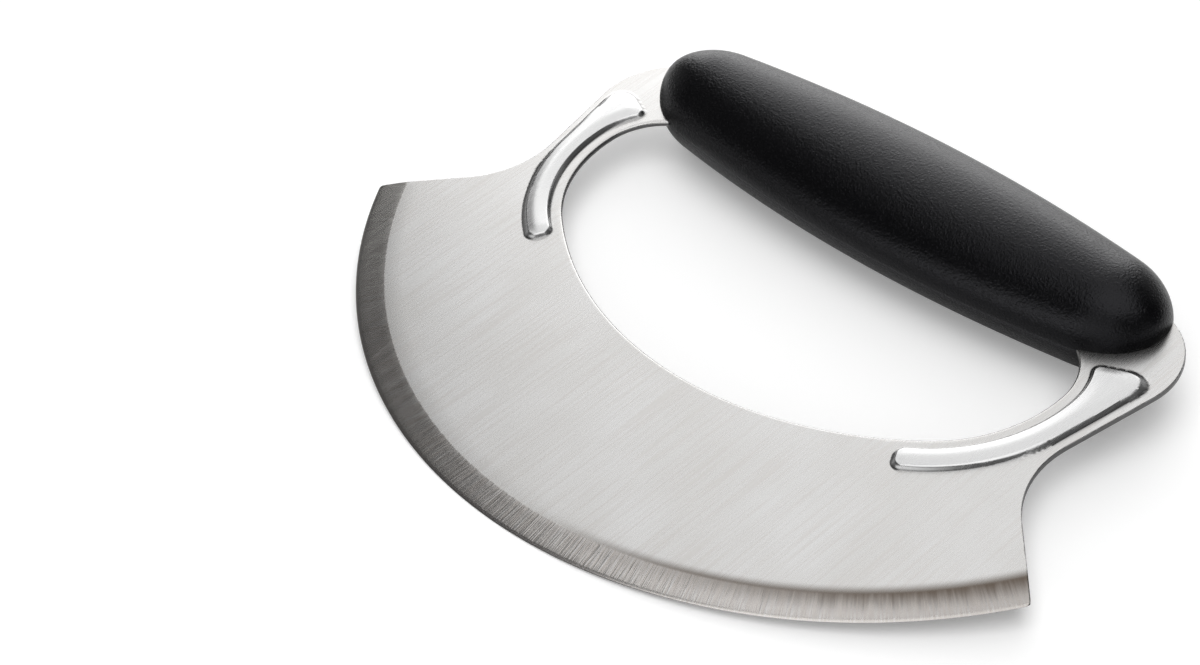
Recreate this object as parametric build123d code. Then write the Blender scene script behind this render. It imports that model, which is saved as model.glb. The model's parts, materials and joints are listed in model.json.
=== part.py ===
from build123d import *
from math import asin, atan, atan2, cos, degrees, radians, sin, sqrt, tan
import os

# A mezzaluna: a crescent chopping blade stamped from one sheet, with a moulded grip closed round
# its tang. Everything is first drawn in the blade's own plane, with X along the grip, Y from the
# lowest point of the cutting edge up to the grip, and Z out of the blade's front face. The whole
# is then laid on its side, so that it rests on the cutting edge and on the back of the grip.
# Lengths are in millimetres and angles in degrees.

# Sheet of the blade: its width from tip to tip, how far the tips stand above the lowest point of
# the edge, and the height of steel left under the finger window
blade_width = 179.0
edge_rise = 47.95
blade_depth = 48.0
sheet_thickness = 1.3
tip_rounding = 1.0

# Grinding: a wide bevel on both faces, then a narrow cutting bevel down to the edge
bevel_width = 6.0
cutting_bevel_width = 0.7
cutting_bevel_thickness = 0.4
edge_land = 0.1

# Arms: a shoulder slopes in from each tip to the waist, and the arm above it flares out a little
shoulder_slope = 45.0
shoulder_width = 21.4
waist_fillet = 21.0
arm_width = 6.6
arm_flare = 11.6
arm_head_share = 0.32

# Finger window, between the arms and under the tang: where it is widest and how round its sides
# are, as shares of its height, and how much of the height above that its upper corners take
window_widest_share = 0.737
window_side_share = 0.541
window_corner_share = 0.96

# Pressed ribs: each runs up an arm, between the window and the arm's outer side
rib_height = 1.3
rib_flank_slope = 40.0
rib_window_margin = 2.1
rib_arm_margin = 1.4
rib_foot_turn = 61.0
rib_head_turn = 39.0
rib_head_slope = 23.5
rib_crest_foot_corner = 0.95
rib_crest_outer_corner = 1.7
rib_crest_inner_corner = 0.6

# Grip: an oval bar, fullest in the middle and rounded at both ends, which stop short of the arms'
# outer sides
grip_end_margin = 2.3
grip_height = 33.5
grip_end_height = 20.0
grip_thickness = 22.0
grip_end_thickness = 19.0
grip_end_rounding = 8.0
grip_centre = 112.85
grip_span_count = 8
grip_end_span_count = 4
skin_thickness = 2.0

# Seat of the tang in the grip: the tang is coined a little thinner than the sheet
tang_cover_above = 8.4
tang_cover_below = 5.4
tang_thickness = 1.2
tang_margin = 0.6
tang_face_clearance = 0.05
tang_side_clearance = 0.25

# Locating pins of the front core, through the tang and into the rear core
pin_count = 4
pin_pitch_share = 0.25
pin_diameter = 5.0
pin_length = 6.0
pin_lead = 0.5
pin_hole_clearance = 0.2
pin_socket_clearance = 0.05
pin_end_clearance = 0.4

# How far a cutting tool runs past what it cuts, and how near two points count as one
overrun = 5.0
same_point = 0.1

right_angle = 90.0
upward = (0, 0, 1)

# Edge, an arc through both tips and the lowest point
half_width = blade_width / 2
half_sheet = sheet_thickness / 2
edge_radius = (half_width ** 2 + edge_rise ** 2) / (2 * edge_rise)
waist_half_width = half_width - shoulder_width
waist_height = edge_rise + shoulder_width * tan(radians(shoulder_slope))

# Tang, inside the rigid core of the grip
core_half_height = grip_height / 2 - skin_thickness
tang_top = grip_centre + core_half_height - tang_cover_above
tang_bottom = grip_centre - core_half_height + tang_cover_below
grip_half_length = waist_half_width - grip_end_margin

# Window: its bottom arc touches the lowest point and runs smoothly into both side arcs
window_height = tang_bottom - blade_depth
window_half_width = waist_half_width - arm_width
window_side_radius = window_side_share * window_height
window_centre = Vector(window_half_width - window_side_radius,
                       blade_depth + window_widest_share * window_height)
window_rise = window_centre.Y - blade_depth
window_bottom_radius = ((window_centre.X ** 2 + window_rise ** 2 - window_side_radius ** 2)
                        / (2 * (window_rise - window_side_radius)))
window_corner = window_corner_share * (tang_bottom - window_centre.Y)
corner_centre = Vector(window_half_width - window_corner, tang_bottom - window_corner)

rib_flank = rib_height / tan(radians(rib_flank_slope))


def both_sides(shape):
    """A shape on the right with its mirror image on the left."""
    return shape + mirror(shape, about=Plane.YZ)


def polar(centre, radius, angle):
    """The point at an angle on a circle in the blade's plane."""
    return centre + Vector(cos(radians(angle)), sin(radians(angle))) * radius


def is_at(vertex, point):
    """Whether a corner of an outline is the one at a point."""
    return (Vector(vertex) - point).length < same_point


def layer(thickness):
    """A wide flat layer centred on the blade's plane."""
    return Box(2 * blade_width, 2 * (tang_top + blade_width), thickness)


def arm_side(height):
    """Distance of the arm's straight outer side from the middle, at a height."""
    return waist_half_width + (height - waist_height) * tan(radians(arm_flare))


# Blade

def sheet_outline():
    """Outer outline of the stamping: cutting edge, shoulders, arms and the top of the tang."""
    tip = Vector(half_width, edge_rise)
    waist = Vector(waist_half_width, waist_height)
    head = Vector(arm_side(tang_top), tang_top)
    head_corner = arm_head_share * (tang_top - waist_height)
    edge = ThreePointArc((-half_width, edge_rise), (0, 0), tip)
    side = Polyline(tip, waist, head, (0, tang_top))
    face = make_face(edge + both_sides(side))
    for corner, radius in ((tip, tip_rounding), (waist, waist_fillet), (head, head_corner)):
        ends = [v for v in face.vertices() if is_at(Vector(abs(v.X), v.Y), corner)]
        face = fillet(ends, radius)
    return face


def window_outline():
    """The finger window, with its straight top edge under the tang."""
    join = degrees(asin(window_centre.X / (window_bottom_radius - window_side_radius)))
    bottom_centre = (0, blade_depth + window_bottom_radius)
    bottom = CenterArc(bottom_centre, window_bottom_radius, 3 * right_angle - join, 2 * join)
    side = CenterArc(window_centre, window_side_radius, join - right_angle, right_angle - join)
    corner = CenterArc(corner_centre, window_corner, 0, right_angle)
    edge = Line(side @ 1, corner @ 0)
    top = Line(corner @ 1, (0, tang_bottom))
    return make_face(bottom + both_sides(side + edge + corner + top))


def rib_outline(drawn_in):
    """The right rib, drawn in all round: it follows the window inside and the arm's side outside."""
    inner_radius = window_side_radius + rib_window_margin + drawn_in
    arm_reach = (arm_side(window_centre.Y) - window_centre.X) * cos(radians(arm_flare))
    outer_radius = arm_reach - rib_arm_margin - drawn_in
    inner_foot = degrees(asin(drawn_in / inner_radius)) - rib_foot_turn
    outer_foot = degrees(asin(drawn_in / outer_radius)) - rib_foot_turn
    inner = CenterArc(window_centre, inner_radius, inner_foot, -inner_foot)
    outer = CenterArc(window_centre, outer_radius, outer_foot, -arm_flare - outer_foot)

    # The head's edge slopes up from the window's corner to the arm's side
    along = polar(Vector(0, 0), 1, rib_head_slope)
    inward = polar(Vector(0, 0), 1, rib_head_slope - right_angle)
    head_start = polar(corner_centre, window_corner + rib_window_margin, rib_head_turn)
    head_start = head_start + inward * drawn_in - corner_centre
    turn_radius = window_corner + rib_window_margin + drawn_in
    short = head_start.dot(along)
    head_start += along * (sqrt(short ** 2 - head_start.dot(head_start) + turn_radius ** 2) - short)
    head_turn = degrees(atan2(head_start.Y, head_start.X))
    turn = CenterArc(corner_centre, turn_radius, 0, head_turn)
    rise = Line(inner @ 1, turn @ 0)
    outward = polar(Vector(0, 0), 1, -arm_flare)
    crown = turn @ 1 + along * ((outer @ 1 - turn @ 1).dot(outward) / along.dot(outward))
    head = Polyline(turn @ 1, crown, outer @ 1)
    foot = Line(outer @ 0, inner @ 0)

    face = make_face(inner + rise + turn + head + outer + foot)
    for point, crest_corner in ((inner @ 0, rib_crest_foot_corner), (outer @ 0, rib_crest_foot_corner),
                                (turn @ 1, rib_crest_inner_corner), (crown, rib_crest_outer_corner)):
        ends = [v for v in face.vertices() if is_at(v, point)]
        face = fillet(ends, crest_corner + rib_flank - drawn_in)
    return face


def pressed_rib():
    """What pressing raises: the rib's outline, drawn in by its flank towards a flat crest."""
    crest = Pos(0, 0, rib_height) * rib_outline(rib_flank)
    return loft([rib_outline(0), crest], ruled=True)


def ground_away():
    """What grinding takes off the front face, as a ring round the edge's centre."""
    inner = edge_radius - bevel_width
    shoulder = edge_radius - cutting_bevel_width
    outer = edge_radius + overrun
    high = half_sheet + overrun
    profile = Polyline((inner, 0, half_sheet), (shoulder, 0, cutting_bevel_thickness / 2),
                       (edge_radius, 0, edge_land / 2), (outer, 0, edge_land / 2),
                       (outer, 0, high), (inner, 0, high), close=True)
    ring = revolve(make_face(profile), Axis.Z)
    return Pos(0, edge_radius, 0) * ring


def pin_places():
    """Centres of the locating pins, along the middle of the tang."""
    height = (tang_bottom + tang_top) / 2
    pitch = pin_pitch_share * 2 * grip_half_length
    return [((number - (pin_count - 1) / 2) * pitch, height) for number in range(pin_count)]


def pins(diameter, low, high):
    """A round bar on each pin's place, from one height to another."""
    bar = Pos(0, 0, (low + high) / 2) * Cylinder(diameter / 2, high - low)
    return [Pos(x, y, 0) * bar for x, y in pin_places()]


def make_blade():
    """The sheet with its window, ground edge, pressed ribs, coined tang and pin holes."""
    sheet = extrude(sheet_outline() - window_outline(), sheet_thickness, dir=upward)
    sheet = Pos(0, 0, -half_sheet) * sheet
    rib = both_sides(pressed_rib())
    sheet = sheet + Pos(0, 0, half_sheet) * rib
    sheet = sheet - Pos(0, 0, -half_sheet) * rib
    grinding = ground_away()
    sheet = sheet - grinding - mirror(grinding, about=Plane.XY)
    coining = grip_form(-tang_margin) - layer(tang_thickness)
    sheet = sheet - coining
    return sheet - pins(pin_diameter + 2 * pin_hole_clearance, -sheet_thickness, sheet_thickness)


# Grip

def barrel(middle, end, place):
    """A half size that falls off from the middle of the grip to its end, as a parabola."""
    share = place / grip_half_length
    return (middle - (middle - end) * share ** 2) / 2


def grip_stations(inset):
    """Places from the middle of the grip to its end, each with how far its oval is drawn in."""
    straight = grip_half_length - grip_end_rounding
    rounding = grip_end_rounding - inset
    half_spans = grip_span_count // 2
    stations = [(straight * number / half_spans, inset) for number in range(half_spans + 1)]
    for number in range(1, grip_end_span_count + 1):
        turn = radians(right_angle * number / grip_end_span_count)
        stations.append((straight + rounding * sin(turn), inset + rounding * (1 - cos(turn))))
    return stations


def grip_form(inset):
    """The oval bar drawn in by an inset all round, or let out where the inset is negative."""
    right = grip_stations(inset)
    left = [(-place, drawn_in) for place, drawn_in in right[:0:-1]]
    sections = []
    for place, drawn_in in left + right:
        oval = Ellipse(barrel(grip_height, grip_end_height, place) - drawn_in,
                       barrel(grip_thickness, grip_end_thickness, place) - drawn_in)
        section = Plane((place, grip_centre, 0), x_dir=(0, 1, 0), z_dir=(1, 0, 0))
        sections.append(section * oval)
    return loft(sections, ruled=True)


def tang_space():
    """Room for the tang between the two halves of the grip, with its clearances."""
    outside = offset(sheet_outline(), tang_side_clearance)
    inside = offset(window_outline(), -tang_side_clearance)
    depth = tang_thickness / 2 + tang_face_clearance
    return extrude(outside - inside, depth, both=True)


def front_half(shape):
    """The part of a shape in front of the blade's plane."""
    return split(shape, Plane.XY, keep=Keep.TOP)


def rear_half(shape):
    """The part of a shape behind the blade's plane."""
    return split(shape, Plane.XY, keep=Keep.BOTTOM)


def make_grip():
    """The two rigid cores, pinned through the tang, and the two soft skins over them."""
    core = grip_form(skin_thickness)
    skin = grip_form(0) - core
    space = tang_space()
    reach = pin_length + pin_end_clearance
    sockets = pins(pin_diameter + 2 * pin_socket_clearance, -reach, 0)
    pegs = [chamfer(peg.edges().sort_by(Axis.Z)[0], pin_lead)
            for peg in pins(pin_diameter, -pin_length, tang_thickness)]
    return {
        "grip_core_front": front_half(core) - space + pegs,
        "grip_core_rear": rear_half(core) - space - sockets,
        "grip_cover_front": front_half(skin) - space,
        "grip_cover_rear": rear_half(skin) - space,
    }


# Resting place

def lying_angle():
    """Tilt at which a line from the cutting edge touches the oval back of the grip."""
    reach = grip_centre ** 2 - (grip_height / 2) ** 2
    drop = (grip_thickness / 2) ** 2 - (edge_land / 2) ** 2
    lean = grip_centre * edge_land / 2
    return degrees(atan((sqrt(lean ** 2 + reach * drop) - lean) / reach))


def main():
    pieces = {"blade": make_blade()}
    pieces.update(make_grip())
    laid = {name: Rot(X=lying_angle()) * piece for name, piece in pieces.items()}
    box = Compound(children=[Compound(piece.solids()) for piece in laid.values()]).bounding_box()
    centre = box.center()
    to_origin = Pos(-centre.X, -centre.Y, -box.min.Z)
    os.makedirs("parts", exist_ok=True)
    for name, piece in laid.items():
        export_step(to_origin * piece, "parts/" + name + ".step")
        print(name, "solids", len(piece.solids()), "volume", round(piece.volume))
    print("tilt", round(lying_angle(), 3), "shift", to_origin.position)


main()
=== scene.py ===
import json
from math import asin, atan2, cos, pi, radians, sin, tan

import bpy
import numpy as np
from bpy.props import FloatProperty, FloatVectorProperty, PointerProperty
from mathutils import Matrix, Vector


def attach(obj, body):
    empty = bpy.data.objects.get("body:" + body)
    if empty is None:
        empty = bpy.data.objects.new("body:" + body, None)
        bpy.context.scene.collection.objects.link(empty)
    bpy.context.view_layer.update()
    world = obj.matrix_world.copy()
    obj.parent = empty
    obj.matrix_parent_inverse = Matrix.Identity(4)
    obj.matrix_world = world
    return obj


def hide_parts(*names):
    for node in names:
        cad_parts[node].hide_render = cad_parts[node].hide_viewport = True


# Dresses a mezzaluna: a pressed steel crescent with a ground edge, and a soft black grip. The
# pieces are drawn in the blade's own plane, with X along the grip, Y from the lowest point of the
# cutting edge up to the grip and Z out of the blade's front face, and are then laid on their side
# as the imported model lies.

bl_info = {
    "name": "Mezzaluna Dresser",
    "version": (1, 0, 0),
    "blender": (4, 5, 0),
    "location": "View3D > Sidebar > Mezzaluna",
    "description": "Models the pressed blade and the soft grip of a mezzaluna round its packed frame",
    "category": "Object",
}

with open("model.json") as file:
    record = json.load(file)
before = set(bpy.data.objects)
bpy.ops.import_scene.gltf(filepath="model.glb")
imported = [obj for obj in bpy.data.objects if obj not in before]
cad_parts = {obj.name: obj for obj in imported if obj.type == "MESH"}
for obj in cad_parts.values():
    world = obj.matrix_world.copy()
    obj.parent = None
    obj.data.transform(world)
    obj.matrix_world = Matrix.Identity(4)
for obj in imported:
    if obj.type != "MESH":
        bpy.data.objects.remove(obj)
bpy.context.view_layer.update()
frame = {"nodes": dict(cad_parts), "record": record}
BODY = "root"
MM = 0.001

# The flat mount on the back of the blade tells how the blade's plane lies in the frame. Its height
# is over the lowest point of the edge.
MOUNT = frame["record"]["mounts"][0]
MOUNT_HEIGHT = 27.0 * MM
BLADE_TILT = atan2(MOUNT["axis"][1], -MOUNT["axis"][2])

# How finely the outlines are drawn: points on their arcs, and the step along straight sides
EDGE_POINTS = 1200
WINDOW_FLOOR_POINTS = 600
WINDOW_SIDE_POINTS = 300
ARM_POINTS = 96
TIP_POINTS = 24
OUTLINE_STEP = 0.4 * MM
# Half the angle over which an outline's slant to a ray is measured, in radians
SLANT_ANGLE = 0.001

# How near two points count as one, and what counts as a face without area
SAME_POINT = 0.001 * MM
NO_AREA = 0.0001 * MM


# Sizes and finishes that a user would change

def length(name, description, millimetres):
    """A length property, with its default in millimetres."""
    return FloatProperty(name=name, description=description, default=millimetres * MM,
                         subtype="DISTANCE", unit="LENGTH", precision=5)


def angle(name, description, value):
    """An angle property, with its default in degrees."""
    return FloatProperty(name=name, description=description, default=radians(value),
                         subtype="ANGLE", unit="ROTATION")


def number(name, description, value):
    """A plain number property."""
    return FloatProperty(name=name, description=description, default=value, precision=4)


def colour(name, description, value):
    """A colour property."""
    return FloatVectorProperty(name=name, description=description, default=value,
                               subtype="COLOR", size=3, min=0.0, max=1.0)


class BladeSizes(bpy.types.PropertyGroup):
    """Sizes of the pressed blade."""
    width: length("Width", "From tip to tip", 179.0)
    rise: length("Edge Rise", "Height of the tips over the lowest point of the edge", 47.95)
    depth: length("Depth", "Steel left under the finger window", 48.0)
    sheet: length("Sheet", "Thickness of the sheet", 1.3)
    tip_rounding: length("Tip Rounding", "Radius of the two tips", 1.0)
    rim_rounding: length("Rim Rounding", "Rounding of the sheet's outer edges", 0.22)
    window_rounding: length("Window Rounding", "Rounding of the window's edges", 0.5)
    bevel: length("Bevel", "Width of the ground bevel", 6.0)
    cutting_bevel: length("Cutting Bevel", "Width of the honed cutting bevel", 0.7)
    cutting_thickness: length("Cutting Thickness", "Thickness where the honing starts", 0.4)
    land: length("Edge Land", "Thickness of the very edge", 0.1)
    shoulder_width: length("Shoulder Width", "From each tip in to the waist", 21.4)
    waist_fillet: length("Waist Fillet", "Radius at the foot of each arm", 21.0)
    arm_width: length("Arm Width", "From the window to the arm's outer side at the waist", 6.6)
    arm_flare: angle("Arm Flare", "Outward lean of the arms", 11.6)
    arm_head: number("Arm Head", "Rounding of the arm's head over the arm's height", 0.32)
    tang_top: length("Tang Top", "Height of the top of the tang", 119.2)
    tang_bottom: length("Tang Bottom", "Height of the underside of the tang", 103.5)
    window_widest: number("Window Widest", "Where the window is widest, over its height", 0.737)
    window_side: number("Window Side", "Radius of the window's sides, over its height", 0.541)
    window_corner: number("Window Corner", "Radius of its upper corners, over what is left", 0.96)


class RibSizes(bpy.types.PropertyGroup):
    """Sizes of the two pressed ribs."""
    height: length("Height", "How far the ribs stand out of the sheet", 1.15)
    flank: length("Flank", "Width of the rib's steep side", 1.1)
    crown: length("Crown", "From the rib's outline to the top of its crown", 3.6)
    crown_share: number("Crown Share", "Share of the height that the crown rises", 0.25)
    window_margin: length("Window Margin", "From the window to the rib", 2.1)
    arm_margin: length("Arm Margin", "From the rib to the arm's outer side", 1.4)
    foot_turn: angle("Foot Turn", "Where the rib's foot lies round the window's side", 61.5)
    head_turn: angle("Head Turn", "Where the rib's head lies round the window's corner", 39.0)
    head_slope: angle("Head Slope", "Slope of the rib's head", 23.5)
    head_corner: length("Head Corner", "Radius of the head's outer corner", 7.0)
    foot_corner: length("Foot Corner", "Radius of the foot and of the head's inner corner", 2.5)


class GripSizes(bpy.types.PropertyGroup):
    """Sizes of the grip."""
    half_length: length("Half Length", "From the middle to each end", 65.8)
    height: length("Height", "Height in the middle", 33.5)
    end_height: length("End Height", "Height that the sides would have at each end", 20.4)
    thickness: length("Thickness", "Thickness in the middle", 22.0)
    end_thickness: length("End Thickness", "Thickness that it would have at each end", 20.6)
    end_rounding: length("End Rounding", "Length of the rounded ends", 13.0)
    end_drop: length("End Drop", "How far the height falls over a rounded end", 9.0)
    end_thinning: length("End Thinning", "How far the thickness falls over a rounded end", 7.9)
    centre: length("Centre", "Height of the grip's middle line", 112.85)
    skin: length("Skin", "Thickness of the soft skin", 2.0)
    seam_rounding: length("Seam Rounding", "Rounding of the skin along the seam", 0.4)


class SteelLook(bpy.types.PropertyGroup):
    """Finish of the steel."""
    flat: colour("Flat", "Colour of the brushed faces", (0.446, 0.442, 0.435))
    ground: colour("Ground", "Colour of the ground bevel", (0.400, 0.377, 0.358))
    heat: colour("Heat Tint", "Colour where grinding has tinted the bevel", (0.092, 0.074, 0.060))
    # Painted sheen: light lines across the bevel's left part, and a painted highlight towards its
    # left tip
    sheen: colour("Sheen", "Colour of the light lines across the bevel", (0.65, 0.64, 0.615))
    # Cut edges and rib creases: partly the dark of shearing, partly painted shade and a painted
    # reflection of the dark grip
    sheared_and_shade: colour("Sheared", "Colour of the cut edges", (0.146, 0.146, 0.146))
    rib: colour("Ribs", "Colour of the burnished ribs", (0.49, 0.49, 0.49))
    roughness: number("Roughness", "Roughness of the brushed faces", 0.27)
    scratch: length("Scratch Depth", "Depth of a full scratch", 0.03)


class SkinLook(bpy.types.PropertyGroup):
    """Finish of the grip's soft skin."""
    skin: colour("Skin", "Colour of the soft black skin", (0.0016, 0.0016, 0.0019))
    # Painted highlight along the lips of the seam
    lip_highlight: colour("Seam Lip", "Colour of the highlit lips of the seam", (0.012, 0.012, 0.013))
    sheen: colour("Sheen", "Tint of the skin's highlights", (0.93, 0.93, 1.0))
    core: colour("Core", "Colour of the rigid core", (0.03, 0.03, 0.03))
    gloss: number("Gloss", "Strength of the skin's highlights", 0.175)
    roughness: number("Roughness", "Mean roughness of the skin", 0.24)
    grain: length("Grain Depth", "Depth of the skin's pebble grain", 0.17)


class StageSettings(bpy.types.PropertyGroup):
    """Floor, lights and camera."""
    floor_size: length("Floor Size", "Side of the floor", 40000.0)
    floor: colour("Floor", "Colour of the floor", (0.9, 0.9, 0.9))
    floor_roughness: number("Floor Roughness", "Roughness of the floor", 0.9)
    glow: number("Floor Glow", "What the camera sees on top of the lit floor", 0.215)
    lens: number("Lens", "Focal length for a picture as wide as the sensor", 73.52)
    sensor: number("Sensor", "Width of the sensor", 36.0)
    target_x: length("Target X", "Sideways place of the target in the blade's plane", -20.07)
    target_y: length("Target Y", "Height of the target over the edge's lowest point", 47.75)
    nearest: length("Nearest", "How near to the camera a thing may be and still show", 10.0)
    azimuth: angle("Azimuth", "Camera's angle round the blade's plane", 54.42)
    elevation: angle("Elevation", "Camera's angle over the blade's plane", 41.89)
    roll: angle("Roll", "Camera's roll", -10.16)
    distance: length("Distance", "From the camera to its target", 480.7)
    shift_x: number("Shift X", "Sideways shift of the picture", 0.0022)
    shift_y: number("Shift Y", "Upward shift of the picture", -0.0049)


class MezzalunaSettings(bpy.types.PropertyGroup):
    """All settings of the mezzaluna."""
    blade: PointerProperty(type=BladeSizes)
    rib: PointerProperty(type=RibSizes)
    grip: PointerProperty(type=GripSizes)
    steel: PointerProperty(type=SteelLook)
    skin: PointerProperty(type=SkinLook)
    stage: PointerProperty(type=StageSettings)


# Where the blade's plane lies

def lying():
    """The move from the blade's own plane to the frame."""
    turn = Matrix.Rotation(BLADE_TILT, 4, "X")
    half_sheet = bpy.context.scene.mezzaluna.blade.sheet / 2
    foot = turn @ Vector((0.0, MOUNT_HEIGHT, -half_sheet))
    return Matrix.Translation(Vector(MOUNT["pos_m"]) - foot) @ turn


def lay_down(piece):
    """Moves a piece's mesh from the blade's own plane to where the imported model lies."""
    piece.data.transform(lying())


# Outlines in the blade's own plane

def arc_points(centre, radius, start, end, count):
    """Points along an arc, from one angle to another in radians."""
    turns = np.linspace(start, end, count)
    return np.stack([centre[0] + radius * np.cos(turns), centre[1] + radius * np.sin(turns)], 1)


def rounded_corner(before, corner, after, radius, count):
    """Points of the arc that rounds a corner between two straight sides."""
    to_before = (Vector(before) - Vector(corner)).normalized()
    to_after = (Vector(after) - Vector(corner)).normalized()
    half = to_before.angle(to_after) / 2
    middle = (to_before + to_after).normalized()
    centre = Vector(corner) + middle * radius / sin(half)
    first = Vector(corner) + to_before * radius / tan(half) - centre
    last = Vector(corner) + to_after * radius / tan(half) - centre
    start = atan2(first.y, first.x)
    sweep = (atan2(last.y, last.x) - start + pi) % (2 * pi) - pi
    return arc_points(centre, radius, start, start + sweep, count)


def filled(points):
    """An outline with points added along its straight sides."""
    result = [points[:1]]
    for start, end in zip(points, points[1:]):
        count = max(1, int(np.ceil(np.hypot(*(end - start)) / OUTLINE_STEP)))
        result.append(start + (end - start) * np.arange(1, count + 1)[:, None] / count)
    return np.concatenate(result)


class Outline:
    """The blade's outlines, worked out from its sizes."""

    def __init__(self, sizes):
        self.sizes = sizes
        self.half = sizes.width / 2
        self.edge_radius = (self.half ** 2 + sizes.rise ** 2) / (2 * sizes.rise)
        self.waist = (self.half - sizes.shoulder_width, sizes.rise + sizes.shoulder_width)
        self.window_height = sizes.tang_bottom - sizes.depth
        self.side_radius = sizes.window_side * self.window_height
        self.side_centre = (self.waist[0] - sizes.arm_width - self.side_radius,
                            sizes.depth + sizes.window_widest * self.window_height)
        rise = self.side_centre[1] - sizes.depth
        self.bottom_radius = ((self.side_centre[0] ** 2 + rise ** 2 - self.side_radius ** 2)
                              / (2 * (rise - self.side_radius)))
        self.corner_radius = sizes.window_corner * (sizes.tang_bottom - self.side_centre[1])
        self.window_half = self.side_centre[0] + self.side_radius
        self.corner_centre = (self.window_half - self.corner_radius,
                              sizes.tang_bottom - self.corner_radius)
        self.centre = (0.0, self.side_centre[1])

    def arm_side(self, height):
        """Distance of the arm's straight outer side from the middle, at a height."""
        return self.waist[0] + (height - self.waist[1]) * tan(self.sizes.arm_flare)

    def right_outside(self):
        """The outer outline's right half, from the lowest point of the edge up."""
        sizes = self.sizes
        lean = asin(self.half / self.edge_radius)
        tip = (self.half, sizes.rise)
        head = (self.arm_side(sizes.tang_top), sizes.tang_top)
        head_corner = sizes.arm_head * (sizes.tang_top - self.waist[1])
        before_tip = (tip[0] - cos(lean) * head_corner, tip[1] - sin(lean) * head_corner)
        edge = arc_points((0.0, self.edge_radius), self.edge_radius, -pi / 2,
                          lean - pi / 2 - sizes.tip_rounding / self.edge_radius, EDGE_POINTS)
        return filled(np.concatenate([
            edge,
            rounded_corner(before_tip, tip, self.waist, sizes.tip_rounding, TIP_POINTS),
            rounded_corner(tip, self.waist, head, sizes.waist_fillet, ARM_POINTS),
            rounded_corner(self.waist, head, (0.0, head[1]), head_corner, ARM_POINTS),
            np.array([(0.0, head[1])])]))

    def right_window(self):
        """The window's right half, from its lowest point up."""
        join = asin(self.side_centre[0] / (self.bottom_radius - self.side_radius))
        return filled(np.concatenate([
            arc_points((0.0, self.sizes.depth + self.bottom_radius), self.bottom_radius,
                       -pi / 2, join - pi / 2, WINDOW_FLOOR_POINTS),
            arc_points(self.side_centre, self.side_radius, join - pi / 2, 0.0,
                       WINDOW_SIDE_POINTS),
            arc_points(self.corner_centre, self.corner_radius, 0.0, pi / 2, ARM_POINTS),
            np.array([(0.0, self.sizes.tang_bottom)])]))

    def reach(self, points, turns):
        """How far an outline lies from the centre along each ray, and its slant to the ray."""
        away = points - np.array(self.centre)
        angles = np.arctan2(away[:, 1], away[:, 0])
        reaches = np.hypot(away[:, 0], away[:, 1])
        angles[0], angles[-1] = -pi / 2, pi / 2
        found = np.interp(turns, angles, reaches)
        slope = (np.interp(turns + SLANT_ANGLE, angles, reaches)
                 - np.interp(turns - SLANT_ANGLE, angles, reaches)) / (2 * SLANT_ANGLE)
        return found, np.sqrt(1 + (slope / found) ** 2)


def rounded_least(values, radius):
    """The least of several depths, with corners rounded to a radius."""
    left = np.stack([np.maximum(radius - value, 0) for value in values])
    least = np.min(np.stack(values), axis=0)
    return np.maximum(radius, least) - np.sqrt((left ** 2).sum(axis=0))


def eased(value):
    """A smooth step from 0 to 1."""
    value = np.clip(value, 0, 1)
    return value * value * (3 - 2 * value)


class Relief:
    """Heights of the blade's faces over its plane."""

    def __init__(self, outline, rib):
        self.outline = outline
        self.rib = rib

    def half_thickness(self, x, y):
        """Half of the sheet's thickness: it falls off over the bevel and the cutting bevel."""
        sizes = self.outline.sizes
        radius = self.outline.edge_radius
        away = radius - np.hypot(x, y - radius)
        stops = (0.0, sizes.cutting_bevel, sizes.bevel)
        return np.interp(away, stops, (sizes.land / 2, sizes.cutting_thickness / 2, sizes.sheet / 2))

    def rib_depth(self, x, y):
        """How far a point lies inside the rib's outline, with close and with soft corners."""
        outline, rib = self.outline, self.rib
        x = np.abs(x)
        from_side = np.hypot(x - outline.side_centre[0], y - outline.side_centre[1])
        from_corner = np.hypot(x - outline.corner_centre[0], y - outline.corner_centre[1])
        inside = np.where(y < outline.side_centre[1], from_side - outline.side_radius,
                          np.where(y > outline.corner_centre[1],
                                   from_corner - outline.corner_radius, x - outline.window_half))
        inside = inside - rib.window_margin

        flare = outline.sizes.arm_flare
        arm = ((outline.waist[0] - x) + (y - outline.waist[1]) * tan(flare)) * cos(flare)
        arm_reach = (outline.arm_side(outline.side_centre[1]) - outline.side_centre[0]) * cos(flare)
        turn = np.arctan2(y - outline.side_centre[1], x - outline.side_centre[0])
        outside = np.where(turn < -flare, arm_reach - from_side, arm) - rib.arm_margin

        foot_x, foot_y = cos(rib.foot_turn), -sin(rib.foot_turn)
        foot = ((y - outline.side_centre[1]) * foot_x - (x - outline.side_centre[0]) * foot_y)

        head_radius = outline.corner_radius + rib.window_margin
        head_x = outline.corner_centre[0] + head_radius * cos(rib.head_turn)
        head_y = outline.corner_centre[1] + head_radius * sin(rib.head_turn)
        head = (x - head_x) * sin(rib.head_slope) - (y - head_y) * cos(rib.head_slope)
        head_side = rounded_least([outside, head], rib.head_corner)
        depth = rounded_least([head_side, inside, foot], rib.foot_corner)
        crown = rounded_least([head_side, inside, foot], rib.crown)
        return depth, crown

    def rib_height(self, x, y):
        """How far pressing raises the sheet: a steep flank, then a gentle crown."""
        rib = self.rib
        depth, crown = self.rib_depth(x, y)
        return rib.height * (eased(depth / rib.flank) * (1 - rib.crown_share)
                             + eased(crown / rib.crown) * rib.crown_share)


# Mesh helpers

def select_none():
    """Deselects every object."""
    for one in bpy.context.selected_objects:
        one.select_set(False)


def activate(piece):
    """Makes a piece the only one that is selected."""
    select_none()
    piece.select_set(True)
    bpy.context.view_layer.objects.active = piece


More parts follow.
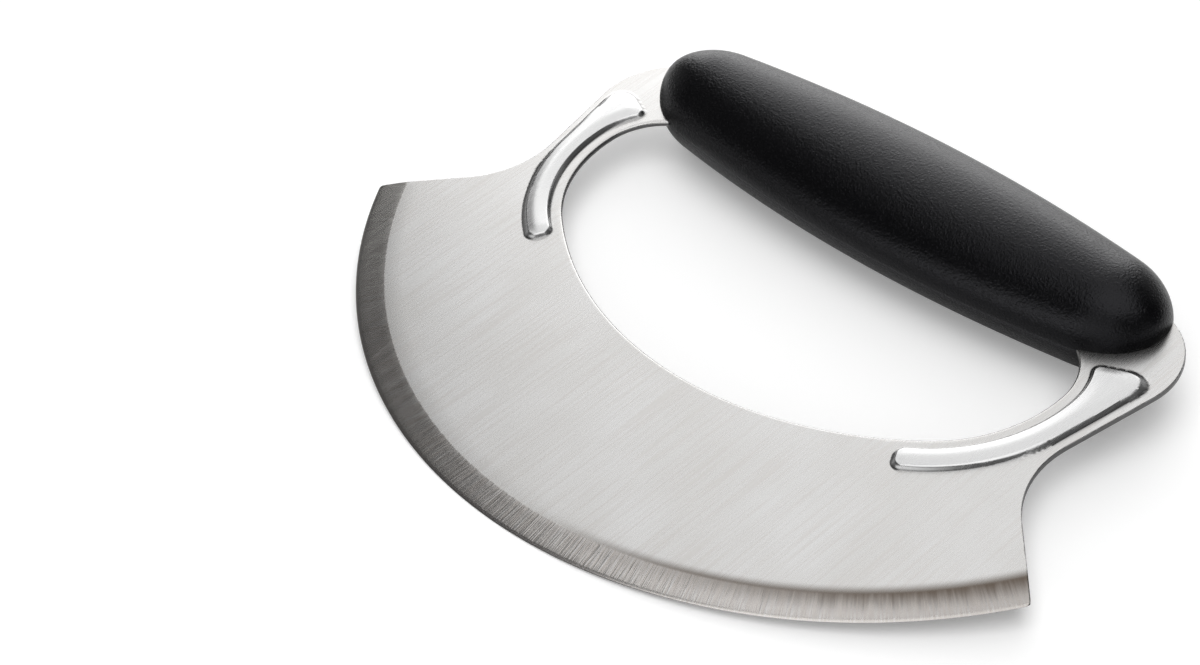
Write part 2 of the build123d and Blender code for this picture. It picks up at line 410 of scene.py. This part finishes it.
def woven_grid(name, places):
    """A grid primitive whose crossings are moved to the places, given by column and row."""
    columns, rows = places.shape[:2]
    select_none()
    bpy.ops.mesh.primitive_grid_add(x_subdivisions=columns - 1, y_subdivisions=rows - 1, size=1.0)
    piece = bpy.context.active_object
    piece.name = name
    piece.data.name = name
    ordered = places.transpose(1, 0, 2).reshape(-1, 3)
    piece.data.vertices.foreach_set("co", ordered.astype(np.float32).ravel())
    piece.data.update()
    return piece


def close_up(piece):
    """Merges the seams of a piece and turns its faces outwards."""
    activate(piece)
    bpy.ops.object.mode_set(mode="EDIT")
    bpy.ops.mesh.select_all(action="SELECT")
    bpy.ops.mesh.remove_doubles(threshold=SAME_POINT)
    bpy.ops.mesh.dissolve_degenerate(threshold=NO_AREA)
    bpy.ops.mesh.normals_make_consistent(inside=False)
    bpy.ops.object.mode_set(mode="OBJECT")


def apply_modifiers(piece):
    """Applies all modifiers of a piece in order."""
    activate(piece)
    for modifier in list(piece.modifiers):
        bpy.ops.object.modifier_apply(modifier=modifier.name)


def hand_over(piece, material, slot, *nodes):
    """Gives a finished piece its material and its body, and hides what it replaces. The slot is not
    used.
    """
    piece.data.materials.clear()
    piece.data.materials.append(material)
    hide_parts(*nodes)
    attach(piece, BODY)


# Shader maths

class Term:
    """A number in a material: its operators add Math nodes."""

    def __init__(self, graph, socket):
        self.graph = graph
        self.socket = socket

    def math(self, operation, *others):
        """A Math node that takes this number first."""
        return self.graph.node("Math", {"operation": operation}, dict(enumerate((self, *others))))

    def __add__(self, other):
        return self.math("ADD", other)

    __radd__ = __add__

    def __sub__(self, other):
        return self.math("SUBTRACT", other)

    def __rsub__(self, other):
        return self.graph.node("Math", {"operation": "SUBTRACT"}, {0: other, 1: self})

    def __mul__(self, other):
        return self.math("MULTIPLY", other)

    __rmul__ = __mul__

    def absolute(self):
        """The number without its sign."""
        return self.math("ABSOLUTE")

    def root(self):
        """The number's square root."""
        return self.math("SQRT")

    def angle(self, other):
        """The angle whose tangent is this number over another."""
        return self.math("ARCTAN2", other)

    def step(self, low, high):
        """A smooth step from 0 at low to 1 at high."""
        return self.graph.node("MapRange", {"interpolation_type": "SMOOTHSTEP"},
                               {"Value": self, "From Min": low, "From Max": high})


class Graph:
    """The nodes of one material, or of the world."""

    # How many finer layers all noise has
    detail = 2.0

    def __init__(self, name, owner=None):
        self.material = owner or bpy.data.materials.new(name)
        self.material.use_nodes = True
        self.tree = self.material.node_tree
        self.shader = self.tree.nodes.get("Principled BSDF")

    def node(self, kind, settings=None, values=None, output=0):
        """Adds a node of a kind with its settings, then the values or links of its sockets."""
        made = self.tree.nodes.new("ShaderNode" + kind)
        for key, value in (settings or {}).items():
            setattr(made, key, value)
        for key, value in (values or {}).items():
            self.put(made.inputs[key], value)
        return Term(self, made.outputs[output])

    def put(self, socket, value):
        """Links a term to a socket, or sets its value, where a colour has full alpha."""
        if isinstance(value, Term):
            self.tree.links.new(value.socket, socket)
        elif socket.type == "RGBA":
            socket.default_value = (*value, 1.0)
        else:
            socket.default_value = value

    def set(self, **values):
        """Sets the shader's sockets; an underscore in a name stands for a space."""
        for key, value in values.items():
            self.put(self.shader.inputs[key.replace("_", " ")], value)

    def place(self):
        """Object coordinates, in millimetres, turned back into the blade's own plane."""
        at = self.node("TexCoord", output="Object")
        back = lying().inverted()
        return self.node("Mapping", {"vector_type": "POINT"}, {
            "Vector": at, "Location": back.translation / MM,
            "Rotation": back.to_euler(), "Scale": (1 / MM,) * 3})

    def attribute(self, name):
        """A number that the mesh carries."""
        return self.node("Attribute", {"attribute_name": name}, output="Fac")

    def facing(self):
        """How squarely a face looks along the blade's own Z, on either side, from 0 to 1."""
        normal = self.node("NewGeometry", output="Normal")
        return self.dot(normal, lying().to_3x3() @ Vector((0.0, 0.0, 1.0))).absolute()

    def dot(self, first, second):
        """The dot product of two vectors."""
        return self.node("VectorMath", {"operation": "DOT_PRODUCT"}, {0: first, 1: second},
                         output="Value")

    def parts(self, vector):
        """The three numbers of a vector."""
        split = self.node("SeparateXYZ", values={"Vector": vector}).socket.node
        return [Term(self, output) for output in split.outputs]

    def join(self, x, y, z):
        """A vector from three numbers."""
        return self.node("CombineXYZ", values={"X": x, "Y": y, "Z": z})

    def noise(self, vector, patches, roughness):
        """Noise from 0 to 1, with so many patches in a millimetre."""
        return self.node("TexNoise", {"noise_dimensions": "3D"}, {
            "Vector": vector, "Scale": patches, "Detail": self.detail, "Roughness": roughness})

    def lines(self, places, patches, roughness):
        """Noise drawn out into lines, with its patches counted along each of three places."""
        drawn_out = self.join(*(place * count for place, count in zip(places, patches)))
        return self.noise(drawn_out, 1.0, roughness)

    def blend(self, first, second, amount):
        """A colour between two."""
        # A Mix node's colours are its seventh and eighth inputs and its third output
        return self.node("Mix", {"data_type": "RGBA"}, {"Factor": amount, 6: first, 7: second},
                         output=2)

    def bump(self, height, distance, strength=1.0):
        """A normal from a height, in metres of relief at 1."""
        return self.node("Bump", values={"Height": height, "Distance": distance,
                                         "Strength": strength})


# Patterns of the finishes: noise with this many patches in a millimetre. Lines are noise that is
# drawn out, with its patches given across the lines, along them and out of the face.
HAIRLINES = {"patches": (1.9, 0.04, 0.05), "roughness": 0.6}
GRINDING_LINES = {"patches": (2.2, 0.09, 0.02), "roughness": 0.7}
GRINDING_STREAKS = {"patches": (0.8, 0.10, 0.0), "roughness": 0.6}
CLOUDS = {"patches": 0.045, "roughness": 0.5}
PEBBLES = {"patches": 1.8, "roughness": 0.6}
SPECKS = {"patches": 3.0, "roughness": 0.5}
CORE_MOTTLE = {"patches": 1.5, "roughness": 0.5}
# The value that noise lies round
MEAN = 0.5

# A tint comes up as its noise goes from the first value to the second, and then takes this share
CLOUD_RANGE, CLOUD_SHARE = (0.35, 0.65), 0.5
HAIRLINE_RANGE, HAIRLINE_SHARE = (0.40, 0.70), 0.36
GRINDING_RANGE, GRINDING_SHARE = (0.35, 0.72), 0.6
STREAK_RANGE, STREAK_SHARE = (0.50, 0.68), 0.22
# Share of the painted shade in the crease at each rib's foot
FOLD_SHADE_SHARE = 0.75
# Ribs show between these shares of their height, and cut edges between these shares of how
# squarely a face looks along the blade's Z
RIB_RANGE = (0.01, 0.3)
CUT_RANGE = (0.2, 0.45)
# Blur of the lines where the bevel and the honing start, in millimetres
BEVEL_BLUR = 0.3
HONING_BLUR = 0.05

# Where the bevel's tints come or go along the blade, in millimetres from its middle: the
# streaks of painted sheen and the painted highlight at the tip on the left, the heat and the far
# heat on the right
STREAK_PLACE = (-75.0, 10.0)
TIP_HIGHLIGHT_PLACE, TIP_HIGHLIGHT_SHARE = (-85.0, -50.0), 0.45
HEAT_PLACE = (5.0, 75.0)
FAR_HEAT_PLACE, FAR_HEAT_SHARE = (55.0, 95.0), 0.3
# Heat comes up between these shares of the bevel's width from the edge. The grinding lines, the
# streaks and the place along the blade move it by these many millimetres for each 1.
HEAT_RANGE = (0.40, 1.35)
HEAT_BY_GRINDING, HEAT_BY_STREAKS, HEAT_BY_PLACE = 3.5, 2.0, 0.02
# On the right the heat also tints the flat face beside the bevel. There it fades out from this far
# before the bevel's top to this far past it, in millimetres.
FADE_BEFORE, FADE_PAST = 0.2, 2.2
FADE_PLACE, FADE_SHARE = (0.0, 45.0), 0.9

# Relief of the lines, as shares of a full scratch. The ribs are nearly free of hairlines, and the
# grinding lines have their least relief at the left tip, where they start to deepen.
HAIRLINE_RELIEF = 0.14
RIB_SMOOTHNESS = 0.9
GRINDING_RELIEF = 1.3
GRINDING_RELIEF_PLACE, LEAST_GRINDING_RELIEF = (-60.0, 10.0), 0.1
# How much rougher or smoother than the brushed faces each part of the steel is
ROUGHER_BY_HAIRLINES = 0.12
ROUGHER_CUT = 0.12
SMOOTHER_RIB = 0.01
SMOOTHER_BEVEL = 0.04


def steel_material():
    """Brushed sheet with a bevel ground across the edge, burnished ribs, and cut edges darkened
    partly by their shearing and partly with painted shade and a painted reflection of the dark grip.
    """
    settings = bpy.context.scene.mezzaluna
    look, blade = settings.steel, settings.blade
    graph = Graph("blade_steel")
    at = graph.place()
    x, y, z = graph.parts(at)
    radius = Outline(blade).edge_radius / MM
    rise = y - radius
    away = radius - (x * x + rise * rise).root()
    width, honed_width = blade.bevel / MM, blade.cutting_bevel / MM
    bevel = 1 - away.step(width - BEVEL_BLUR, width + BEVEL_BLUR)
    honed = 1 - away.step(honed_width - HONING_BLUR, honed_width + HONING_BLUR)
    rib = graph.attribute("rib").step(*RIB_RANGE)
    # Where the painted shade in the crease at each rib's foot lies
    fold_shade = graph.attribute("fold_shade")
    # Cut edges, which take partly the dark of shearing and partly painted shade and a painted
    # reflection of the dark grip
    cut = 1 - graph.facing().step(*CUT_RANGE)

    # Hairlines up the blade, and grinding lines across the bevel
    along = x.angle(0 - rise) * radius
    brushed = graph.lines((x, y, z), **HAIRLINES)
    ground = graph.lines((along, away, z), **GRINDING_LINES)
    streak = graph.lines((along, away, z), **GRINDING_STREAKS)
    cloud = graph.noise(at, **CLOUDS)

    flat = graph.blend(look.flat, look.rib, cloud.step(*CLOUD_RANGE) * CLOUD_SHARE)
    flat = graph.blend(flat, look.ground, brushed.step(*HAIRLINE_RANGE) * HAIRLINE_SHARE)
    fading = 1 - away.step(width - FADE_BEFORE, width + FADE_PAST)
    flat = graph.blend(flat, look.heat, x.step(*FADE_PLACE) * fading * FADE_SHARE)

    heat = (away + (ground - MEAN) * HEAT_BY_GRINDING + (streak - MEAN) * HEAT_BY_STREAKS
            + x * HEAT_BY_PLACE).step(*(share * width for share in HEAT_RANGE))
    # Painted sheen along the grinding streaks on the left, and a painted highlight that lightens the
    # bevel towards its left tip
    streaks = streak.step(*STREAK_RANGE) * STREAK_SHARE * (1 - x.step(*STREAK_PLACE))
    tip = (1 - x.step(*TIP_HIGHLIGHT_PLACE)) * TIP_HIGHLIGHT_SHARE
    edge = graph.blend(look.ground, look.rib, ground.step(*GRINDING_RANGE) * GRINDING_SHARE)
    edge = graph.blend(edge, look.heat, heat * x.step(*HEAT_PLACE))
    edge = graph.blend(edge, look.heat, x.step(*FAR_HEAT_PLACE) * FAR_HEAT_SHARE)
    edge = graph.blend(edge, look.sheen, streaks + tip)

    base = graph.blend(flat, edge, bevel)
    base = graph.blend(base, look.rib, rib)
    # Painted shade in the crease at each rib's foot
    base = graph.blend(base, look.sheared_and_shade, fold_shade * FOLD_SHADE_SHARE)
    # Cut edges are darkened partly by their shearing, partly with painted shade and a painted
    # reflection of the dark grip
    base = graph.blend(base, look.sheared_and_shade, cut)

    flat_relief = ((brushed - MEAN) * HAIRLINE_RELIEF * (1 - rib * RIB_SMOOTHNESS)
                   * (1 - bevel))
    depth = (x.step(*GRINDING_RELIEF_PLACE) * (1 - LEAST_GRINDING_RELIEF)
             + LEAST_GRINDING_RELIEF)
    bevel_relief = (ground + streak - 2 * MEAN) * bevel * (1 - honed) * depth
    graph.set(Base_Color=base, Metallic=1.0,
              Roughness=look.roughness + (brushed - MEAN) * ROUGHER_BY_HAIRLINES
              - rib * SMOOTHER_RIB - bevel * SMOOTHER_BEVEL + cut * ROUGHER_CUT,
              Normal=graph.bump(flat_relief + bevel_relief * GRINDING_RELIEF, look.scratch))
    return graph.material


# The skin's grain, how far it changes the roughness, and where the painted highlight along the
# seam's lips ends, in millimetres from the blade's plane
PEBBLE_SHARE, SPECK_SHARE = 0.6, 0.4
ROUGHER_BY_GRAIN = 0.4
LIP_HIGHLIGHT_RANGE = (0.25, 0.6)


def skin_material():
    """Soft matte black with a fine pebble grain."""
    look = bpy.context.scene.mezzaluna.skin
    graph = Graph("grip_skin")
    at = graph.place()
    grain = graph.noise(at, **PEBBLES) * PEBBLE_SHARE + graph.noise(at, **SPECKS) * SPECK_SHARE
    # Painted highlight: the skin is lighter along the seam's lips
    lip_highlight = 1 - graph.parts(at)[2].absolute().step(*LIP_HIGHLIGHT_RANGE)
    graph.set(Base_Color=graph.blend(look.skin, look.lip_highlight, lip_highlight), Metallic=0.0,
              Specular_IOR_Level=look.gloss, Specular_Tint=look.sheen,
              Roughness=look.roughness + (grain - MEAN) * ROUGHER_BY_GRAIN,
              Normal=graph.bump(grain, look.grain))
    return graph.material


# The cores' roughness and relief, which the skin hides
CORE_ROUGHNESS = 0.5
ROUGHER_BY_MOTTLE = 0.2
CORE_RELIEF = 0.03 * MM
CORE_RELIEF_STRENGTH = 0.3


def core_material():
    """Plain moulded black of the hidden cores."""
    look = bpy.context.scene.mezzaluna.skin
    graph = Graph("grip_core")
    mottle = graph.noise(graph.place(), **CORE_MOTTLE)
    graph.set(Base_Color=look.core,
              Roughness=CORE_ROUGHNESS + (mottle - MEAN) * ROUGHER_BY_MOTTLE,
              Normal=graph.bump(mottle, CORE_RELIEF, CORE_RELIEF_STRENGTH))
    return graph.material


# Pieces

class MEZZALUNA_OT_blade(bpy.types.Operator):
    """Models the pressed blade: its outlines, its ground edge and its two ribs"""
    bl_idname = "mezzaluna.blade"
    bl_label = "Pressed Blade"

    # Columns from the bottom of the crescent to the top, by polar angle in degrees and count
    column_stops = ((-90.0, 0), (-34.3, 60), (-29.5, 56), (-18.0, 40), (-5.0, 28), (12.0, 54),
                    (31.0, 112), (90.0, 30))
    # Rings: round the window's rim, beside the window, over the rest of the face, over the bevel
    # and round the outer rim
    window_rim_count = 5
    near_count = 40
    far_count = 7
    bevel_count = 4
    rim_count = 3
    # How far the rings beside the window reach, and the share of the steel that they take at most
    near_reach = 13.5 * MM
    near_share = 0.72
    # They crowd over the ribs' flanks: how many times closer, and over what width. The crowd is
    # worked out on samples along each ray, and evened out over some neighbouring rays.
    crowding = 6.0
    crowded_reach = 0.8 * MM
    sample_count = 400
    spread_count = 21
    # Half the width of the crease where the bevel starts, and the least width of the bevel and of
    # the honing at the tips, in such creases
    crease = 0.12 * MM
    least_bevel, least_honing = 8, 4
    # Where the painted shade in the crease at a rib's foot lies inside its outline, and how wide it
    # is
    fold_depth, fold_width = 0.22 * MM, 0.20 * MM
    smooth_angle = 30.0

    def columns(self):
        """Angles of the rays, right half first, then the left half back down."""
        turns = [radians(self.column_stops[0][0])]
        for (start, _), (end, count) in zip(self.column_stops, self.column_stops[1:]):
            turns.extend(np.linspace(radians(start), radians(end), count + 1)[1:])
        return np.array(turns)

    def near_rings(self, relief, turns, start, near):
        """Rings beside the window, which crowd together over the flanks of the ribs."""
        shares = np.linspace(0, 1, self.sample_count)
        places = start[:, None] + near[:, None] * shares
        x = places * np.cos(turns)[:, None]
        y = relief.outline.centre[1] + places * np.sin(turns)[:, None]
        depth, _ = relief.rib_depth(x, y)
        from_flank = (depth - relief.rib.flank / 2) / self.crowded_reach
        crowd = np.cumsum(1 + self.crowding * np.exp(-from_flank ** 2), axis=1)
        crowd = (crowd - crowd[:, :1]) / (crowd[:, -1:] - crowd[:, :1])
        wanted = np.arange(self.near_count) / self.near_count
        found = np.stack([np.interp(wanted, row, shares) for row in crowd])
        spread = np.hanning(self.spread_count + 2)[1:-1]
        edge = self.spread_count // 2
        padded = np.pad(found, ((edge, edge), (0, 0)), mode="edge")
        found = np.stack([np.convolve(ring, spread / spread.sum(), mode="valid")
                          for ring in padded.T])
        return list(start + near * found)

    def ring_places(self, relief, turns):
        """Distance of each ring from the centre, along each ray, from the window to the edge."""
        outline = relief.outline
        sizes = outline.sizes
        window, window_slant = outline.reach(outline.right_window(), turns)
        outside, outside_slant = outline.reach(outline.right_outside(), turns)
        low = outline.centre[1] - outline.edge_radius
        down = low * np.sin(turns)
        bevel_radius = outline.edge_radius - sizes.bevel
        bevel = np.sqrt(bevel_radius ** 2 - low ** 2 + down ** 2) - down
        honed_radius = outline.edge_radius - sizes.cutting_bevel
        honed = np.sqrt(honed_radius ** 2 - low ** 2 + down ** 2) - down

        rim = sizes.rim_rounding
        window_rim = sizes.window_rounding * window_slant
        start = window + window_rim
        end = outside - rim * outside_slant
        rings = [window + window_rim * (1 - cos(pi / 2 * number / self.window_rim_count))
                 for number in range(self.window_rim_count)]
        bevel = np.minimum(bevel, end - self.least_bevel * self.crease)
        honed = np.clip(honed, bevel + self.least_honing * self.crease, end - self.crease)
        span = bevel - self.crease - start
        near = np.minimum(self.near_reach, span * self.near_share)
        rings += self.near_rings(relief, turns, start, near)
        rings += [start + near + (span - near) * number / self.far_count
                  for number in range(self.far_count + 1)]
        rings.append(bevel + self.crease)
        rings += [bevel + self.crease + (honed - bevel - 2 * self.crease) * number / self.bevel_count
                  for number in range(1, self.bevel_count + 1)]
        rings.append(honed + self.crease / 2)
        rings += [outside - rim * outside_slant * (1 - sin(pi / 2 * number / self.rim_count))
                  for number in range(self.rim_count + 1)]
        return np.stack(rings, 1), window, outside, window_slant, outside_slant

    def mark_ribs(self, piece, relief):
        """Stores for the material where the ribs are, and the painted shade in the creases at their
        feet.
        """
        places = np.empty(len(piece.data.vertices) * 3)
        piece.data.vertices.foreach_get("co", places)
        x, y, _ = places.reshape(-1, 3).T
        depth, _ = relief.rib_depth(x, y)
        # Painted shade in the crease at each rib's foot
        fold_shade = np.exp(-((depth - self.fold_depth) / self.fold_width) ** 2)
        for name, values in (("rib", relief.rib_height(x, y) / relief.rib.height),
                             ("fold_shade", fold_shade)):
            marks = piece.data.attributes.new(name, "FLOAT", "POINT")
            marks.data.foreach_set("value", values)

    def execute(self, context):
        settings = context.scene.mezzaluna
        outline = Outline(settings.blade)
        relief = Relief(outline, settings.rib)
        turns = self.columns()
        rings, window, outside, window_slant, outside_slant = self.ring_places(relief, turns)
        x = outline.centre[0] + rings * np.cos(turns)[:, None]
        y = outline.centre[1] + rings * np.sin(turns)[:, None]
        x[0], x[-1] = 0.0, 0.0
        thick = relief.half_thickness(x, y)
        raised = relief.rib_height(x, y)

        # The cut edges are rounded by how far each ring lies from the nearer outline
        half = thick.copy()
        for away, rim in (((rings - window[:, None]) / window_slant[:, None],
                           settings.blade.window_rounding),
                          ((outside[:, None] - rings) / outside_slant[:, None],
                           settings.blade.rim_rounding)):
            near = np.clip(away / rim, 0, 1)
            half -= np.minimum(rim, thick) * (1 - np.sqrt(1 - (1 - near) ** 2))

        front = np.stack([x, y, raised + half], 2)
        back = np.stack([x, y, raised - half], 2)[:, ::-1]
        right = np.concatenate([front, back, front[:, :1]], 1)
        left = right[::-1].copy()
        left[..., 0] *= -1
        piece = woven_grid("pressed_blade", np.concatenate([right, left[1:]], 0))
        close_up(piece)
        self.mark_ribs(piece, relief)
        lay_down(piece)
        activate(piece)
        bpy.ops.object.shade_smooth_by_angle(angle=radians(self.smooth_angle))
        hand_over(piece, steel_material(), "blade_steel", "blade")
        return {"FINISHED"}


class MEZZALUNA_OT_grip(bpy.types.Operator):
    """Models the two halves of the soft skin, which meet at a seam, and finishes the cores"""
    bl_idname = "mezzaluna.grip"
    bl_label = "Soft Grip"

    # Stations along each half's straight part and over its rounded end, and points round a half
    along_count = 48
    end_count = 14
    round_count = 64
    # The end closes in a few steps, given as shares of its last station
    closing_shares = (0.6, 0.25, 0.0)
    seam_steps = 3
    seam_angle = 60.0
    smooth_angle = 50.0

    def stations(self, sizes):
        """Places along the right half of the grip, each with its half height and thickness."""
        straight = sizes.half_length - sizes.end_rounding
        places = [(straight * number / self.along_count, 0.0)
                  for number in range(self.along_count)]
        for number in range(self.end_count + 1):
            turn = pi / 2 * number / self.end_count
            places.append((straight + sizes.end_rounding * sin(turn), 1 - cos(turn)))
        result = []
        for place, drawn_in in places:
            fall = (place / sizes.half_length) ** 2
            height = (sizes.height - (sizes.height - sizes.end_height) * fall) / 2
            depth = (sizes.thickness - (sizes.thickness - sizes.end_thickness) * fall) / 2
            result.append((place, height - sizes.end_drop * drawn_in,
                           depth - sizes.end_thinning * drawn_in))
        place, height, depth = result[-1]
        result += [(place, height * share, depth * share) for share in self.closing_shares]
        return result

    def half_skin(self, name, sizes, side):
        """One half of the skin, on the front (1) or on the rear (-1)."""
        right = self.stations(sizes)
        left = [(-place, height, depth) for place, height, depth in right[:0:-1]]
        turns = np.linspace(0, pi, self.round_count + 1)
        places = [[(place, sizes.centre + height * cos(turn), side * depth * sin(turn))
                   for turn in turns] for place, height, depth in left + right]
        piece = woven_grid(name, np.array(places))
        close_up(piece)
        self.face_outwards(piece, sizes.centre)
        activate(piece)
        wall = piece.modifiers.new("Wall", "SOLIDIFY")
        wall.thickness = sizes.skin
        wall.offset = -1.0
        wall.use_even_offset = True
        apply_modifiers(piece)
        self.flatten_seam(piece, side)
        rounding = piece.modifiers.new("Seam", "BEVEL")
        rounding.width = sizes.seam_rounding
        rounding.segments = self.seam_steps
        rounding.limit_method = "ANGLE"
        rounding.angle_limit = radians(self.seam_angle)
        apply_modifiers(piece)
        lay_down(piece)
        activate(piece)
        bpy.ops.object.shade_smooth_by_angle(angle=radians(self.smooth_angle))
        return piece

    def face_outwards(self, piece, centre):
        """Turns an open half shell's faces away from the grip's middle line."""
        mesh = piece.data
        middle = Vector((0.0, centre, 0.0))
        away = sum((polygon.center - middle).dot(polygon.normal) for polygon in mesh.polygons)
        if away < 0:
            mesh.flip_normals()

    def flatten_seam(self, piece, side):
        """Brings the rim of a half shell into the blade's plane."""
        for vertex in piece.data.vertices:
            if vertex.co.z * side < 0:
                vertex.co.z = 0.0

    def execute(self, context):
        sizes = context.scene.mezzaluna.grip
        material = skin_material()
        front = self.half_skin("front_skin", sizes, 1)
        hand_over(front, material, "grip_skin", "grip_cover_front")
        rear = self.half_skin("rear_skin", sizes, -1)
        hand_over(rear, material, "grip_skin", "grip_cover_rear")
        core = core_material()
        for node in ("grip_core_front", "grip_core_rear"):
            slots = frame["nodes"][node].data.materials
            slots.clear()
            slots.append(core)
        return {"FINISHED"}


class MEZZALUNA_OT_stage(bpy.types.Operator):
    """Sets the pale floor, the soft lights and the camera"""
    bl_idname = "mezzaluna.stage"
    bl_label = "Stage"

    # Soft boxes: name, azimuth from +X and elevation in degrees, distance, width and height in
    # metres, and brightness, where 1 is white
    lamps = (
        ("key_box", 130.0, 34.0, 1.2, 0.98, 1.98, 1.38),
        ("low_key_box", 130.0, 17.0, 1.2, 0.98, 0.98, 1.50),
        ("top_box", -40.0, 76.0, 1.2, 1.25, 1.25, 1.88),
    )
    # The world is dim, with soft lights on some sides: direction, cosines of the angles at which
    # the light starts and is full, and brightness
    dim_world = 0.10
    world_lights = (
        ((0.25, -0.96, 0.05), 0.72, 0.92, 1.43),
        ((-0.33, -0.94, 0.08), 0.93, 0.99, 2.0),
        ((0.98, 0.0, 0.15), 0.92, 0.98, 0.52),
        ((-0.97, -0.10, 0.20), 0.90, 0.98, 0.42),
        ((0.05, 0.95, 0.30), 0.90, 0.98, 0.46),
    )

    def floor(self, settings):
        """A pale floor that keeps the shadows."""
        bpy.ops.mesh.primitive_plane_add(size=settings.floor_size)
        floor = bpy.context.active_object
        floor.name = "floor"
        graph = Graph("floor_white")
        seen = graph.node("LightPath", output="Is Camera Ray")
        graph.set(Base_Color=settings.floor, Roughness=settings.floor_roughness,
                  Specular_IOR_Level=0.0, Emission_Color=seen * settings.glow,
                  Emission_Strength=1.0)
        floor.data.materials.append(graph.material)

    def world(self):
        """Soft white light from some sides, and a dim grey from the others."""
        world = bpy.data.worlds.new("studio")
        bpy.context.scene.world = world
        graph = Graph("studio", world)
        direction = graph.node("TexCoord", output="Generated")
        strength = self.dim_world
        for side, start, full, brightness in self.world_lights:
            light = graph.dot(direction, side).step(start, full)
            strength = light * (brightness - self.dim_world) + strength
        background = graph.tree.nodes["Background"]
        graph.put(background.inputs["Color"], (1.0, 1.0, 1.0))
        graph.put(background.inputs["Strength"], strength)

    def soft_box(self, name, azimuth, elevation, distance, width, height, brightness):
        """A rectangular lamp that faces the object."""
        azimuth, elevation = radians(azimuth), radians(elevation)
        away = Vector((cos(azimuth) * cos(elevation), sin(azimuth) * cos(elevation),
                       sin(elevation)))
        data = bpy.data.lights.new(name, "AREA")
        data.shape = "RECTANGLE"
        data.size, data.size_y = width, height
        data.energy = brightness * pi * width * height
        lamp = bpy.data.objects.new(name, data)
        lamp.location = away * distance
        lamp.rotation_euler = away.to_track_quat("Z", "Y").to_euler()
        bpy.context.scene.collection.objects.link(lamp)

    def camera(self, settings):
        """A camera that looks at a target in the blade's plane."""
        turn = settings.azimuth
        lift = settings.elevation
        back = Vector((sin(turn) * cos(lift), -cos(turn) * cos(lift), sin(lift)))
        right = (-back).cross(Vector((0.0, 0.0, 1.0))).normalized()
        up = right.cross(-back)
        rolled_right = right * cos(settings.roll) + up * sin(settings.roll)
        rolled_up = up * cos(settings.roll) - right * sin(settings.roll)
        target = Vector((settings.target_x, settings.target_y, 0.0))
        place = target + back * settings.distance
        axes = Matrix((rolled_right, rolled_up, back)).transposed().to_4x4()
        data = bpy.data.cameras.new("camera")
        data.lens = settings.lens
        data.sensor_width = settings.sensor
        data.shift_x = settings.shift_x
        data.shift_y = settings.shift_y
        data.clip_start = settings.nearest
        camera = bpy.data.objects.new("camera", data)
        camera.matrix_world = lying() @ Matrix.Translation(place) @ axes
        bpy.context.scene.collection.objects.link(camera)
        bpy.context.scene.camera = camera

    def execute(self, context):
        settings = context.scene.mezzaluna.stage
        select_none()
        self.floor(settings)
        self.world()
        for lamp in self.lamps:
            self.soft_box(*lamp)
        self.camera(settings)
        context.scene.view_settings.view_transform = "Standard"
        return {"FINISHED"}


class MEZZALUNA_PT_panel(bpy.types.Panel):
    """Lists the pieces and their settings"""
    bl_idname = "MEZZALUNA_PT_panel"
    bl_label = "Mezzaluna"
    bl_space_type = "VIEW_3D"
    bl_region_type = "UI"
    bl_category = "Mezzaluna"

    def draw(self, context):
        settings = context.scene.mezzaluna
        for operator, groups in (
                (MEZZALUNA_OT_blade, (settings.blade, settings.rib, settings.steel)),
                (MEZZALUNA_OT_grip, (settings.grip, settings.skin)),
                (MEZZALUNA_OT_stage, (settings.stage,))):
            self.layout.operator(operator.bl_idname)
            column = self.layout.column(align=True)
            for group in groups:
                for name in group.__annotations__:
                    column.prop(group, name)


CLASSES = (BladeSizes, RibSizes, GripSizes, SteelLook, SkinLook, StageSettings,
           MezzalunaSettings, MEZZALUNA_OT_blade, MEZZALUNA_OT_grip, MEZZALUNA_OT_stage,
           MEZZALUNA_PT_panel)


def register():
    """Registers the classes and adds the settings to the scene."""
    for one in CLASSES:
        bpy.utils.register_class(one)
    bpy.types.Scene.mezzaluna = PointerProperty(type=MezzalunaSettings)


def unregister():
    """Takes the settings off the scene and unregisters the classes."""
    del bpy.types.Scene.mezzaluna
    for one in reversed(CLASSES):
        bpy.utils.unregister_class(one)


def main():
    """Models and stages the mezzaluna."""
    register()
    bpy.ops.mezzaluna.blade()
    bpy.ops.mezzaluna.grip()
    bpy.ops.mezzaluna.stage()
    bpy.context.view_layer.update()


if __name__ == "__main__":
    main()
